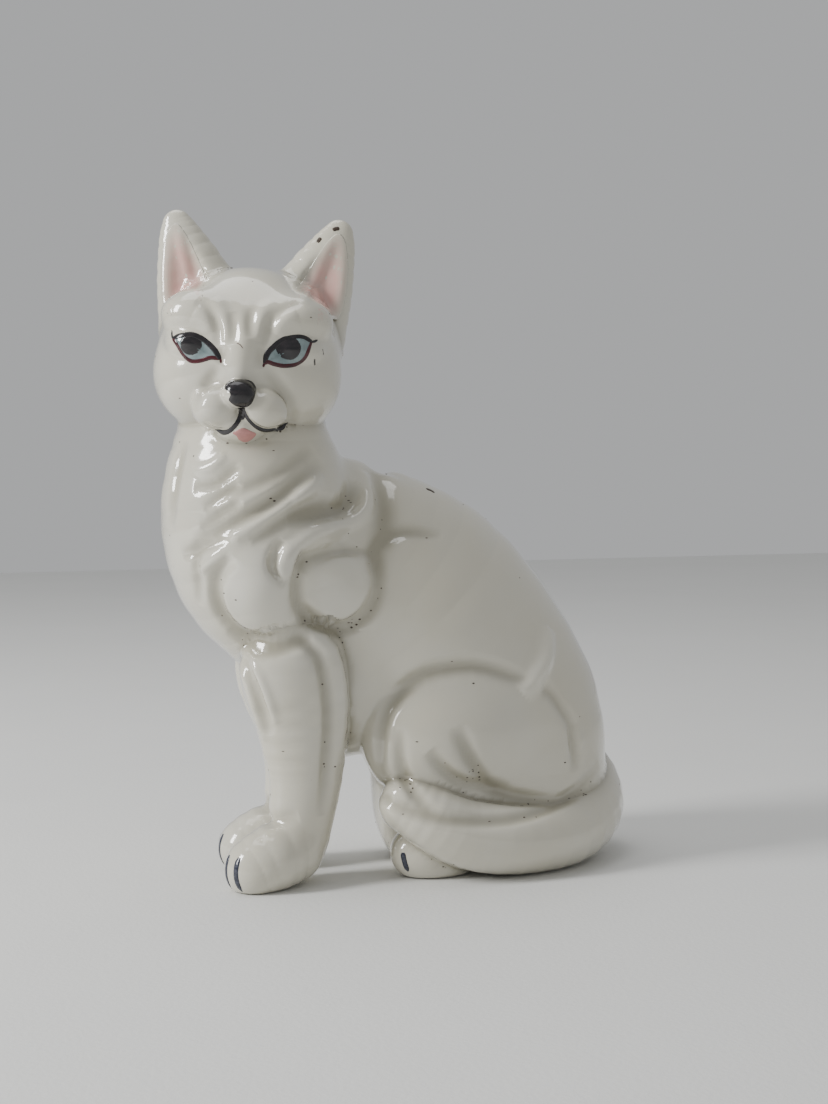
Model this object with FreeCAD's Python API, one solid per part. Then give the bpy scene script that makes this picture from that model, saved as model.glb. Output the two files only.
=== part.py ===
import FreeCAD, Part
import math
import os
from collections import namedtuple

# Seated ceramic cat, slip cast, glazed and hand painted.
# Units are millimetres. The body faces -Y, +X is the cat's left, +Z is up, and the origin is at
# the middle of the figure's length and width, on the surface that the cat stands on. The head is
# turned to its left. The sizes below are laid out from the body's plane of symmetry.

Vector = FreeCAD.Vector

# One section of a lofted form, in a plane through (x, y, z). lean tips the plane's normal from
# straight up towards the front, in degrees.
Ring = namedtuple("Ring", "x y z half_width half_depth lean")

# ---- fired clay and glaze ----
body_wall = 4.5
head_wall = 4.0
ear_wall = 2.2
enamel_thickness = 0.35
drain_radius = 6.0
neck_drain_radius = 11.0

# ---- barrel of the body, from the flat base up to the withers ----
base_ring = Ring(0.0, 31.0, 0.0, 27.0, 34.5, 0.0)
hip_ring = Ring(0.0, 31.0, 22.0, 30.0, 35.5, 8.0)
loin_ring = Ring(0.0, 26.0, 46.0, 31.0, 37.0, 28.0)
rib_ring = Ring(0.0, 7.5, 71.0, 29.0, 36.5, 42.0)
withers_ring = Ring(0.0, -19.0, 97.0, 22.5, 26.5, 46.0)
scruff_ring = Ring(0.0, -38.0, 112.0, 16.0, 18.0, 50.0)

# ---- chest, ruff and neck, from the arch under the belly up to the throat ----
arch_ring = Ring(0.0, -17.0, 34.0, 12.0, 9.0, 0.0)
belly_ring = Ring(0.0, -18.5, 44.0, 17.0, 16.5, 0.0)
elbow_ring = Ring(0.0, -25.0, 60.0, 20.0, 23.0, 0.0)
brisket_height = 77.0
neck_height = 136.0
ruff_step = 0.25 * (neck_height - brisket_height + 1.0)
brisket_ring = Ring(0.0, -35.5, brisket_height, 23.0, 30.0, 0.0)
ruff_low_ring = Ring(0.0, -43.0, brisket_height + ruff_step, 26.0, 29.5, 0.0)
ruff_ring = Ring(0.0, -45.5, brisket_height + 2.0 * ruff_step, 26.5, 28.5, 0.0)
ruff_top_ring = Ring(0.0, -46.0, brisket_height + 3.0 * ruff_step, 22.5, 24.5, 0.0)
neck_ring = Ring(0.0, -46.5, neck_height, 19.0, 19.5, 0.0)

# ---- haunches and hind paws, one each side ----
haunch_half = Vector(16.0, 30.5, 24.5)
haunch_centre = Vector(17.0, 11.5, 41.0)
hind_paw_half = Vector(10.0, 15.0, 10.0)
hind_paw_centre = Vector(18.0, 4.0, 7.5)
right_haunch_back = 13.0
right_hind_paw_back = 15.0

# ---- forelegs: sections of the left one, standing at x = 0 ----
shoulder_section = Ring(0.0, -39.0, 80.0, 10.0, 13.0, 0.0)
elbow_section = Ring(0.0, -39.5, 64.0, 10.0, 16.0, 0.0)
forearm_section = Ring(0.0, -36.5, 46.0, 9.5, 13.5, 0.0)
wrist_section = Ring(0.0, -35.5, 28.0, 8.3, 10.6, 0.0)
pastern_section = Ring(0.0, -37.5, 13.0, 8.0, 9.5, 0.0)
heel_section = Ring(0.0, -40.0, 0.0, 7.0, 8.0, 0.0)
paw_half = Vector(10.0, 14.3, 10.5)
paw_centre = Vector(1.5, -45.5, 7.5)
leg_gap = 3.0
right_leg_back = 6.5
left_stance = Vector(elbow_section.half_width + leg_gap, 0.0, 0.0)
right_stance = Vector(-elbow_section.half_width, right_leg_back, 0.0)

# ---- tail, wrapped round the cat's left side ----
tail_tip_radius = 8.5
tail_radius = 10.5
tail_root_radius = 11.5
tail_side = 28.0
tail_height = 10.2

# ---- head, in its own frame: x to the cat's left, -y forward, z up ----
head_seat = 14.5
head_centre = Vector(neck_ring.x + 2.5, neck_ring.y - 1.0, neck_ring.z + head_seat)
head_turn = 66.5
head_tilt = 3.5
skull_half = Vector(26.0, 25.0, 24.0)
cheek_half = Vector(17.5, 19.0, 16.0)
cheek_centre = Vector(10.0, -3.0, -7.0)
bridge_half = Vector(7.5, 9.0, 10.0)
pad_radius = 7.5
chin_half = Vector(7.5, 8.0, 5.5)
eyeball_half = Vector(11.5, 14.0, 10.0)

# ---- ears ----
ear_height = 31.0
ear_root_half_width = 12.0
ear_root_half_depth = 7.0
ear_splay = 8.0

# ---- painted features ----
eye_length = 13.6
eye_height = 8.2
pupil_radius = 3.6
eye_line_width = 1.1
nose_half_width = 4.6
nose_half_height = 4.0
nose_reach = 1.6
mouth_line_width = 1.0
lip_half_width = 3.0
lip_height = 3.4
toe_line_width = 1.3
forepaw_line_shares = (-0.35, 0.2)
hind_paw_line_shares = (-0.4, 0.4)


# ---------------------------------------------------------------- helpers
def frame_matrix(origin, x_axis, y_axis, z_axis):
    """Matrix that carries the unit axes onto three given vectors and then moves to origin."""
    return FreeCAD.Matrix(
        x_axis.x, y_axis.x, z_axis.x, origin.x,
        x_axis.y, y_axis.y, z_axis.y, origin.y,
        x_axis.z, y_axis.z, z_axis.z, origin.z,
        0, 0, 0, 1)


def oval(centre, half_x, half_y, x_axis, y_axis):
    """Oval wire about centre, in the plane of two unit axes."""
    circle = Part.Wire(Part.makeCircle(1.0))
    normal = x_axis.cross(y_axis)
    return circle.transformGeometry(frame_matrix(centre, x_axis * half_x, y_axis * half_y, normal))


def ring_wire(ring, inset=0.0):
    """A ring's outline, drawn in by inset all round."""
    lean = math.radians(ring.lean)
    depth_axis = Vector(0, math.cos(lean), math.sin(lean))
    centre = Vector(ring.x, ring.y, ring.z)
    return oval(centre, ring.half_width - inset, ring.half_depth - inset, Vector(1, 0, 0), depth_axis)


def loft(rings, inset=0.0):
    """Smooth solid through a row of rings."""
    return Part.makeLoft([ring_wire(ring, inset) for ring in rings], True, False)


def ball(centre, half, inset=0.0):
    """Solid with half sizes half along x, y and z, drawn in by inset."""
    x_axis = Vector(half.x - inset, 0, 0)
    y_axis = Vector(0, half.y - inset, 0)
    z_axis = Vector(0, 0, half.z - inset)
    return Part.makeSphere(1.0).transformGeometry(frame_matrix(centre, x_axis, y_axis, z_axis))


def flip_x(vector, back=0.0):
    """The same place on the cat's right side, or a little further back."""
    return Vector(-vector.x, vector.y + back, vector.z)


def join(solids):
    """One solid from several that overlap."""
    whole = solids[0].multiFuse(solids[1:])
    return Part.Solid(whole.Shells[0]) if whole.ShapeType == "Compound" and len(whole.Solids) == 1 else whole


def below(height):
    """Block that fills everything under a height."""
    size = 400.0
    return Part.makeBox(size, size, size, Vector(-size / 2, -size / 2, height - size))


# ---------------------------------------------------------------- body
def barrel(inset=0.0):
    rings = [base_ring, hip_ring, loin_ring, rib_ring, withers_ring, scruff_ring]
    return loft(rings, inset)


def chest(inset=0.0):
    lower = [arch_ring, belly_ring, elbow_ring, brisket_ring]
    ruff = [ruff_low_ring, ruff_ring, ruff_top_ring, neck_ring]
    return loft(lower + ruff, inset)


def body_outside():
    """The body's outer form, before the head's seat is cut."""
    forms = [
        barrel(),
        chest(),
        ball(haunch_centre, haunch_half),
        ball(flip_x(haunch_centre, right_haunch_back), haunch_half),
        ball(hind_paw_centre, hind_paw_half),
        ball(flip_x(hind_paw_centre, right_hind_paw_back), hind_paw_half)]
    return join(forms).cut(below(0.0))


def body_inside():
    """The cavity that drained slip leaves, closed by the floor and the arch."""
    lower = barrel(body_wall).cut(below(body_wall))
    upper = chest(body_wall).cut(below(arch_ring.z + body_wall))
    return join([lower, upper])


# ---------------------------------------------------------------- forelegs
def foreleg():
    """The left foreleg and its paw, before it is moved to where it stands."""
    lower = [heel_section, pastern_section, wrist_section]
    upper = [forearm_section, elbow_section, shoulder_section]
    return join([loft(lower + upper), ball(paw_centre, paw_half)]).cut(below(0.0))


# ---------------------------------------------------------------- tail
def tail_path():
    """Centre line of the tail with its radius, from the tip to the root behind the base."""
    rear = base_ring.y + base_ring.half_depth
    over_paw = hind_paw_centre.z + hind_paw_half.z
    return [
        (Vector(tail_side - 5.0, -8.0, over_paw + 4.5), tail_tip_radius),
        (Vector(tail_side - 1.5, -1.0, over_paw + 0.5), 0.5 * (tail_tip_radius + tail_radius)),
        (Vector(tail_side, 9.0, over_paw - 4.5), tail_radius - 0.5),
        (Vector(tail_side + 0.5, 24.0, tail_height), tail_radius),
        (Vector(tail_side - 4.0, 42.0, tail_height), tail_radius),
        (Vector(tail_side - 14.5, rear - 10.5, tail_height + 3.0), tail_root_radius),
        (Vector(2.0, rear - 4.0, tail_height + 9.0), tail_root_radius),
        (Vector(-6.0, rear - 9.0, tail_height + 20.0), tail_root_radius - 1.0)]


def across(direction):
    """Two unit axes square to a direction."""
    side = direction.cross(Vector(0, 0, 1))
    side.normalize()
    return side, side.cross(direction)


def tail():
    """Round roll that lies along the base and ends in a blunt tip on the hind paw."""
    path = tail_path()
    tip, radius = path[0]
    ahead = tip - path[1][0]
    ahead.normalize()
    side, up = across(ahead * -1)
    wires = []
    for angle in (80.0, 55.0, 28.0):
        reach = radius * math.sin(math.radians(angle))
        small = radius * math.cos(math.radians(angle))
        wires.append(oval(tip + ahead * reach, small, small, side, up))
    for index, (point, radius) in enumerate(path):
        before = path[max(index - 1, 0)][0]
        after = path[min(index + 1, len(path) - 1)][0]
        direction = after - before
        direction.normalize()
        side, up = across(direction)
        wires.append(oval(point, radius, radius, side, up))
    return Part.makeLoft(wires, True, False).cut(below(0.0))


# ---------------------------------------------------------------- head
def head_place():
    turn = FreeCAD.Rotation(Vector(0, 0, 1), head_turn).multiply(FreeCAD.Rotation(Vector(0, 1, 0), head_tilt))
    return FreeCAD.Placement(head_centre, turn)


def on_face(x, z):
    """Point on the skull's front at a place across and up the face."""
    share = 1.0 - (x / skull_half.x) ** 2 - (z / skull_half.z) ** 2
    return Vector(x, -skull_half.y * math.sqrt(share), z)


eye_x = 0.5 * skull_half.x
eye_z = 0.04 * skull_half.z
nose_z = -0.53 * skull_half.z
muzzle_z = nose_z - nose_half_height
chin_centre = Vector(0, 7.5 - skull_half.y, muzzle_z - 4.0)


def nose():
    """Round bump between the whisker pads, under black enamel."""
    half = Vector(nose_half_width, nose_half_width, nose_half_height)
    return ball(Vector(0, -skull_half.y - nose_reach, nose_z), half)


def head_outside(grow=0.0):
    """The head's outer form in its own frame, grown by an even amount."""
    eye = on_face(eye_x, eye_z) + Vector(-1.5, eyeball_half.y - 2.0, 0)
    pad = Vector(0.85 * pad_radius, 5.0 - skull_half.y, muzzle_z + 1.5)
    forms = [
        ball(Vector(0, 0, 0), skull_half, -grow),
        ball(Vector(0, 7.0 - skull_half.y, nose_z + 3.0), bridge_half, -grow),
        ball(chin_centre, chin_half, -grow)]
    for side in (Vector, flip_x):
        forms.append(ball(side(cheek_centre), cheek_half, -grow))
        forms.append(ball(side(pad), Vector(pad_radius, pad_radius, pad_radius), -grow))
        forms.append(ball(side(eye), eyeball_half, -grow))
    return join(forms)


def head_inside():
    forms = [ball(Vector(0, 0, 0), skull_half, head_wall)]
    for side in (Vector, flip_x):
        forms.append(ball(side(cheek_centre), cheek_half, head_wall))
    return join(forms)


def lower_lip():
    """Painted swelling on the chin, under the middle of the mouth."""
    front = chin_centre - Vector(0, chin_half.y - 2.2, 0.5 * chin_half.z)
    return ball(front, Vector(lip_half_width, 3.0, 0.5 * lip_height))


# ---------------------------------------------------------------- ears
def ear_rings(inset, forward):
    """Sections of the left ear from its root to its tip, leaning outwards."""
    root_x = 0.6 * skull_half.x
    root_z = 0.35 * skull_half.z
    shares = ((0.0, 1.0), (0.38, 0.88), (0.7, 0.63), (0.9, 0.4), (1.0, 0.16))
    rings = []
    for share, fullness in shares:
        width = ear_root_half_width * fullness
        depth = ear_root_half_depth * fullness
        x = root_x + ear_splay * share
        z = root_z + (ear_height - 0.5 * inset) * share
        rings.append(Ring(x, 4.0 - forward, z, width - inset * fullness, depth - 0.5 * inset * fullness, 0.0))
    return rings


def ear_outside():
    return loft(ear_rings(0.0, 0.0))


def ear_cup():
    """The hollow in the ear's front."""
    return loft(ear_rings(2.0 * ear_wall, ear_root_half_depth - ear_wall))


# ---------------------------------------------------------------- painted features
def almond(grow=0.0):
    """Outline of the left eye across the face, grown by an even amount."""
    half_length = 0.5 * eye_length + grow
    half_height = 0.5 * eye_height + grow
    inner = Vector(eye_x - half_length, 0, eye_z - 0.12 * eye_length)
    outer = Vector(eye_x + half_length, 0, eye_z + 0.12 * eye_length)
    upper = Vector(eye_x + 0.5, 0, eye_z + half_height)
    lower = Vector(eye_x, 0, eye_z - half_height)
    return Part.Wire([Part.Arc(inner, upper, outer).toShape(), Part.Arc(outer, lower, inner).toShape()])


def forward_prism(wire):
    """Solid that runs forward from an outline drawn across the face."""
    reach = skull_half.y + 40.0
    return Part.Face(wire).extrude(Vector(0, -reach, 0))


def disc_prism(x, z, half_x, half_z):
    return forward_prism(oval(Vector(x, 0, z), half_x, half_z, Vector(1, 0, 0), Vector(0, 0, 1)))


def arc_band(x, z, radius, width, start, end):
    """Curved stroke of even width, its angles measured from +x up towards +z."""
    def at(distance, angle):
        angle = math.radians(angle)
        return Vector(x + distance * math.cos(angle), 0, z + distance * math.sin(angle))
    outer_radius = radius + 0.5 * width
    inner_radius = radius - 0.5 * width
    middle = 0.5 * (start + end)
    outer = Part.Arc(at(outer_radius, start), at(outer_radius, middle), at(outer_radius, end)).toShape()
    inner = Part.Arc(at(inner_radius, end), at(inner_radius, middle), at(inner_radius, start)).toShape()
    first = Part.makeLine(at(outer_radius, end), at(inner_radius, end))
    last = Part.makeLine(at(inner_radius, start), at(outer_radius, start))
    return forward_prism(Part.Wire([outer, first, inner, last]))


def mouth_prism():
    """Upright line under the nose and a curve under each whisker pad."""
    radius = 0.75 * pad_radius
    centre_x = radius
    reach = skull_half.y + 40.0
    upright = Part.makeBox(mouth_line_width, reach, nose_half_height + 2.0)
    upright.translate(Vector(-0.5 * mouth_line_width, -reach, muzzle_z - 4.0))
    strokes = [upright]
    for side, start, end in ((1, 175.0, 320.0), (-1, 220.0, 365.0)):
        strokes.append(arc_band(side * centre_x, muzzle_z - 1.0, radius, mouth_line_width, start, end))
    return join(strokes)


def toe_lines(centre, half, casting, shares):
    """Painted strokes over the front of a paw, placed by their shares of its half width."""
    grown = ball(centre, half, -enamel_thickness)
    strokes = []
    for share in shares:
        slab = Part.makeBox(toe_line_width, half.y, 0.95 * half.z)
        x = centre.x + share * half.x - 0.5 * toe_line_width
        slab.translate(Vector(x, centre.y - 1.6 * half.y, 1.0))
        strokes.append(grown.common(slab).cut(casting))
    return Part.makeCompound(strokes)


# ---------------------------------------------------------------- assembly
def build():
    parts = {}
    place = head_place()

    def placed(shape):
        moved = shape.copy()
        moved.Placement = place.multiply(moved.Placement)
        return moved

    head_form = head_outside()
    neck_hole = Part.makeCylinder(neck_drain_radius, 2.0 * skull_half.z, Vector(0, 0, 0), Vector(0, 0, -1))
    parts["head_casting"] = placed(head_form.cut(head_inside()).cut(neck_hole))

    body_form = body_outside()
    drain = Part.makeCylinder(drain_radius, 3.0 * body_wall, Vector(0, base_ring.y, -body_wall))
    parts["body_casting"] = body_form.cut(body_inside()).cut(drain).cut(placed(head_form))

    left_leg = foreleg()
    right_leg = left_leg.mirror(Vector(0, 0, 0), Vector(1, 0, 0))
    left_leg.translate(left_stance)
    right_leg.translate(right_stance)
    parts["left_foreleg"] = left_leg.cut(body_form)
    parts["right_foreleg"] = right_leg.cut(body_form)
    left_paw = toe_lines(paw_centre, paw_half, foreleg(), forepaw_line_shares)
    right_paw = left_paw.mirror(Vector(0, 0, 0), Vector(1, 0, 0))
    left_paw.translate(left_stance)
    right_paw.translate(right_stance)
    parts["left_forepaw_lines"] = left_paw
    parts["right_forepaw_lines"] = right_paw
    parts["tail"] = tail().cut(body_form)
    tail_and_body = join([body_form, parts["tail"]])
    right_hind_paw = flip_x(hind_paw_centre, right_hind_paw_back)
    for name, centre in (("left", hind_paw_centre), ("right", right_hind_paw)):
        parts[name + "_hindpaw_lines"] = toe_lines(centre, hind_paw_half, tail_and_body, hind_paw_line_shares)

    skin = head_outside(enamel_thickness).cut(head_form)
    eye = forward_prism(almond())
    rim = forward_prism(almond(eye_line_width)).cut(eye)
    pupil = disc_prism(eye_x, eye_z + 0.5, pupil_radius, pupil_radius)
    ear = ear_outside().cut(ear_cup()).cut(head_form)
    lining = ear_rings(2.0 * (ear_wall + enamel_thickness), ear_root_half_depth - ear_wall)
    blush = ear_cup().cut(loft(lining)).common(ear_outside()).cut(head_form)
    sided = {
        "ear": ear,
        "ear_blush": blush,
        "eye_blue": skin.common(eye).cut(pupil),
        "pupil": skin.common(eye).common(pupil),
        "eye_outline": skin.common(rim)}
    for name, shape in sided.items():
        parts["left_" + name] = placed(shape)
        parts["right_" + name] = placed(shape.mirror(Vector(0, 0, 0), Vector(1, 0, 0)))

    mouth = mouth_prism()
    parts["nose_enamel"] = placed(nose().cut(head_form))
    parts["mouth_lines"] = placed(skin.common(mouth).cut(nose())).cut(body_form)
    parts["lower_lip"] = placed(lower_lip().cut(head_form).cut(mouth))
    return centred(parts)


def centred(parts):
    """The same parts, moved so that the origin is at the middle of the whole figure's box."""
    box = FreeCAD.BoundBox()
    for name in ("body_casting", "head_casting", "tail"):
        box.add(parts[name].optimalBoundingBox())
    for shape in parts.values():
        shape.translate(Vector(-box.Center.x, -box.Center.y, 0))
    return parts


os.makedirs("parts", exist_ok=True)
for node, shape in build().items():
    shape.exportStep("parts/" + node + ".step")
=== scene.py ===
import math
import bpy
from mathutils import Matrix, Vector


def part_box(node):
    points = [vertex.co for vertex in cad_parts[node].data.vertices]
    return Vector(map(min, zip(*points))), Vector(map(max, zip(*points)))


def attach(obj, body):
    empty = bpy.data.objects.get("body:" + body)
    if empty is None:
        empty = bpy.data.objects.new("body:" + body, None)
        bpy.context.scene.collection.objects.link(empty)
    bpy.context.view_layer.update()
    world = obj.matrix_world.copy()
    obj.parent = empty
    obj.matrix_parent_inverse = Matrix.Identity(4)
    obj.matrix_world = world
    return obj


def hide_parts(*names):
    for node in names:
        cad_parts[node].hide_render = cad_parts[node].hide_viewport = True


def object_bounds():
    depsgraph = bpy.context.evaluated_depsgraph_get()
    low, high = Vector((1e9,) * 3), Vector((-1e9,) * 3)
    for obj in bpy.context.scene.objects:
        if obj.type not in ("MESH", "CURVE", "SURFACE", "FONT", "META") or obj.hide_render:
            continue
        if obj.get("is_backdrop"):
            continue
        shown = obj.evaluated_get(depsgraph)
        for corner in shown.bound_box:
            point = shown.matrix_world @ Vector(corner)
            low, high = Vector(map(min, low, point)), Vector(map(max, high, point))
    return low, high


bl_info = {
    "name": "Ceramic cat figurine",
    "version": (1, 0, 0),
    "blender": (4, 5, 0),
    "location": "3D View > Sidebar > Ceramic cat",
    "description": "Models the glaze skin, the fur lines and the painted face of a seated ceramic cat",
    "category": "Object"}

from collections import namedtuple
from concurrent.futures import ThreadPoolExecutor

import bpy
import numpy as np
import openvdb
from bpy.props import FloatProperty, FloatVectorProperty, IntProperty, PointerProperty
from mathutils import Matrix, Vector

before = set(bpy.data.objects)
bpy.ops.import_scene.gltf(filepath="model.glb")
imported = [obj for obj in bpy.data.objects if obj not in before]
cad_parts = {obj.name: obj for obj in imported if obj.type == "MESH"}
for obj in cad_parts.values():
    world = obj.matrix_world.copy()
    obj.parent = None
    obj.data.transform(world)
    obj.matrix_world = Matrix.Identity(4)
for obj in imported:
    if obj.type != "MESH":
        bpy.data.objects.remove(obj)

MM = 0.001

# ---------------------------------------------------------------- distance forms (millimetres)
# A form is a function of points that is negative inside, zero on the surface and about the distance outside.


def rows(points):
    return np.asarray(points, np.float32)


def turned(yaw=0.0, roll=0.0):
    """Columns are a turned frame's x, y and z axes."""
    a, b = math.radians(yaw), math.radians(roll)
    about_z = np.array([[math.cos(a), -math.sin(a), 0], [math.sin(a), math.cos(a), 0], [0, 0, 1]])
    about_y = np.array([[math.cos(b), 0, math.sin(b)], [0, 1, 0], [-math.sin(b), 0, math.cos(b)]])
    return (about_z @ about_y).astype(np.float32)


def ball(p, centre, half):
    """Ellipsoid with half sizes along x, y and z."""
    q = (p - rows(centre)) / rows(half)
    near = np.sqrt((q * q).sum(-1)) + 1e-6
    slope = np.sqrt(((q / rows(half)) ** 2).sum(-1)) + 1e-6
    return near * (near - 1.0) / slope


def smooth_path(points, cuts=5):
    """Catmull-Rom curve through rows of any width."""
    rows_in = np.asarray(points, float)
    if len(rows_in) < 3:
        return rows_in.astype(np.float32)
    ends = np.vstack([2 * rows_in[0] - rows_in[1], rows_in, 2 * rows_in[-1] - rows_in[-2]])
    out = []
    for a, b, c, d in zip(ends[:-3], ends[1:-2], ends[2:-1], ends[3:]):
        for t in np.arange(cuts) / cuts:
            out.append(0.5 * (2 * b + (c - a) * t + (2 * a - 5 * b + 4 * c - d) * t ** 2
                              + (3 * b - a - 3 * c + d) * t ** 3))
    out.append(ends[-2])
    return np.array(out, np.float32)


def limb(p, stations, squeeze=(1.0, 1.0, 1.0), cuts=3):
    """Round roll through stations of x, y, z and radius, squeezed along the axes."""
    path = smooth_path(stations, cuts)
    squeeze = rows(squeeze)
    p = p / squeeze
    best = np.full(p.shape[:-1], 1e6, np.float32)
    for a, b in zip(path[:-1], path[1:]):
        start = a[:3] / squeeze
        span = b[:3] / squeeze - start
        t = np.clip((p - start) @ span / (float(span @ span) + 1e-9), 0, 1)
        off = p - start - t[..., None] * span
        best = np.minimum(best, np.sqrt((off * off).sum(-1)) - (a[3] + t * (b[3] - a[3])))
    return best * float(squeeze.min())


def join(a, b, blend):
    """Union with a fillet."""
    h = np.maximum(blend - np.abs(a - b), 0) / blend
    return np.minimum(a, b) - h * h * h * blend / 6


def carve(a, b, blend):
    """a with b taken out, its edge softened."""
    return -join(-a, b, blend)


def both_sides(p):
    """Folds the cat's right side over on its left."""
    return np.concatenate([np.abs(p[..., :1]), p[..., 1:]], -1)


def near_path(p, path):
    """Distance to a path and how far along it the nearest point lies, 0 to 1."""
    best = np.full(p.shape[:-1], 1e6, np.float32)
    along = np.zeros_like(best)
    for i, (a, b) in enumerate(zip(path[:-1], path[1:])):
        span = b - a
        t = np.clip((p - a) @ span / (float(span @ span) + 1e-9), 0, 1)
        off = p - a - t[..., None] * span
        d = np.sqrt((off * off).sum(-1))
        closer = d < best
        best[closer] = d[closer]
        along[closer] = (i + t[closer]) / (len(path) - 1)
    return best, along


def kept_near(form, low, high, reach=5.0):
    """The same form, worked out only near a box; further off, the distance to the box stands in."""
    def quick(p):
        gap = np.maximum(np.maximum(low - p, p - high), 0)
        far = np.sqrt((gap * gap).sum(-1))
        out = far + 1.0
        near = far < reach
        if near.any():
            out[near] = form(p[near])
        return out
    return quick


# ---------------------------------------------------------------- the cat's forms (millimetres)
# Places are measured from the body casting's box: x from its middle, y from its front, z from its foot.
BODY_LOW, BODY_HIGH = (rows(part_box("body_casting")[i]) * 1000 for i in (0, 1))
HEAD_LOW = rows(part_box("head_casting")[0]) * 1000
CHEST_REACH = 74.04
ORIGIN = rows([0.5 * (BODY_LOW[0] + BODY_HIGH[0]), BODY_LOW[1] + CHEST_REACH, BODY_LOW[2]])
HEAD_MIDDLE = HEAD_LOW - ORIGIN + rows([25.16, 28.48, 26.19])
HEAD_FRAME = turned(yaw=66.5, roll=3.5)


def torso(p):
    d = limb(p, [(0, -20, 96, 25.3), (0, -6, 84, 32.8), (0, 8, 70.5, 37), (0, 27, 42, 38), (0, 30, 22, 36.5)],
             (0.8, 1, 1))
    chest = [(0, -46, 137, 19), (0, -46, 124, 22), (0, -45, 108, 27.3), (0, -42.5, 93, 27), (0, -37, 80, 22)]
    d = join(d, limb(p, chest, (0.97, 1, 1)), 5)
    d = join(d, ball(p, (0, -20, 56), (19, 20, 23)), 6)
    d = join(d, ball(p, (0, 30.5, 18), (27, 36, 30)), 8)
    return d


def haunches(p):
    left = ball(p, (16.5, 11.5, 41), (16.3, 30, 24))
    right = ball(p, (-16.5, 24.5, 41), (16.3, 30, 24))
    return np.minimum(left, right)


def hind_paws(p):
    left = ball(p, (18, 4, 7), (9.5, 14.5, 10))
    right = ball(p, (-18, 19, 7), (9.5, 14.5, 10))
    return np.minimum(left, right)


def body(p):
    d = join(torso(p), haunches(p), 2.2)
    return join(d, hind_paws(p), 2.0)


def foreleg(p):
    """Left foreleg standing at x = 0."""
    shaft = [
        (0, -38, 70, 11), (0, -38.5, 61, 14), (0, -35.8, 46, 12.2), (0, -34.8, 30, 9.7), (0, -37, 15, 8.5)]
    d = limb(p, shaft, (0.84, 1.1, 1))
    d = join(d, limb(p, [(0, -39, 9, 8.5), (1.5, -45.5, 8.2, 9.5), (1.7, -50.6, 6.2, 8.7)], cuts=2), 5)
    return d


def left_foreleg(p):
    return foreleg(p - rows([13, 0, 0]))


def right_foreleg(p):
    q = p - rows([-10, 6.5, 0])
    return foreleg(q * rows([-1, 1, 1]))


def tail(p):
    path = [(23.2, -8, 22.5, 8.2), (26.5, -1, 18, 9.3), (28, 9, 13, 10), (28.5, 24, 10.5, 10.4),
            (24.2, 42, 10.6, 10.8), (14, 55.5, 13.5, 11.4), (2, 61.5, 19.5, 11.6), (-6, 57, 30, 10.5)]
    return limb(p, path)


def ear(q):
    """Left ear in the head's frame."""
    shell = [(14.3, 4, 9, 12.7), (17.4, 4, 20, 10.6), (21.3, 4, 30.5, 6.7), (23.0, 4, 35.6, 4.2)]
    hollow = [(17.2, -3.2, 11, 8.0), (19.2, -2.4, 21, 6.6), (22.0, -1.4, 30, 3.9), (23.0, -1.0, 34, 2.1)]
    return carve(limb(q, shell, (1, 0.56, 1)), limb(q, hollow, (1, 0.55, 1)), 1.6)


def skull(q):
    m = both_sides(q)
    d = ball(q, (0, 0, 0), (25.2, 24.6, 24.2))
    d = join(d, ball(m, (9.6, -3, -7), (16.6, 18.6, 15.6)), 6)
    # brows, eyeballs, bridge of the nose
    d = join(d, ball(m, (12.6, -13.3, 8.8), (11.0, 9.5, 7.0)), 7)
    d = join(d, ball(q, (0, -16, -2.0), (5.2, 10.0, 14.0)), 5)
    d = join(d, ball(m, (13.4, -11.5, 0.8), (9.0, 11.6, 6.8)), 1.6)
    # whisker pads, chin, nose
    d = join(d, ball(m, (6.3, -20, -16.2), (7.0, 7.6, 6.2)), 2.0)
    d = join(d, ball(q, (0, -17.5, -20.5), (7.0, 7.6, 5.2)), 1.5)
    d = join(d, ball(q, (0, -25.5, -12.6), (4.6, 4.4, 3.9)), 1.2)
    return d


def to_head(p):
    return (p - HEAD_MIDDLE) @ HEAD_FRAME


def from_head(q):
    return rows(q) @ HEAD_FRAME.T + HEAD_MIDDLE


def node_form(name, form, pad):
    """A casting's form, worked out near the box of its node."""
    low, high = (rows(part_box(name)[i]) * 1000 - ORIGIN for i in (0, 1))
    return kept_near(form, low - pad, high + pad)


PARTS = {
    "body_casting": body,
    "head_casting": lambda p: skull(to_head(p)),
    "left_ear": lambda p: ear(to_head(p)),
    "right_ear": lambda p: ear(to_head(p) * rows([-1, 1, 1])),
    "left_foreleg": left_foreleg,
    "right_foreleg": right_foreleg,
    "tail": tail}
PARTS = {name: node_form(name, form, 14 if "foreleg" in name else 3) for name, form in PARTS.items()}


def all_forms(p):
    return {name: form(p) for name, form in PARTS.items()}


def blended(forms):
    """All castings as one form, without the modelled lines."""
    d = forms["body_casting"]
    for name, blend in (("left_foreleg", 4.0), ("right_foreleg", 4.0), ("tail", 1.8)):
        d = join(d, forms[name], blend)
    head = forms["head_casting"]
    for name in ("left_ear", "right_ear"):
        head = join(head, forms[name], 5.0)
    return join(d, head, 2.5)


def plain_figure(p):
    return blended(all_forms(p))


# ---------------------------------------------------------------- modelled lines
# Fur and folds drawn on the cast form. Side drawings run along the figure and up, square to a line
# turned SIDE_TURN from straight ahead; face drawings run across and up the head. A positive depth
# cuts a groove, a negative one raises a ridge. All in millimetres.
SIDE_TURN = math.radians(66)
SIDE_ALONG = rows([math.cos(SIDE_TURN), math.sin(SIDE_TURN), 0])
SIDE_OUT = rows([math.sin(SIDE_TURN), -math.cos(SIDE_TURN), 0])
Mark = namedtuple("Mark", "path low high width depth")

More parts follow.
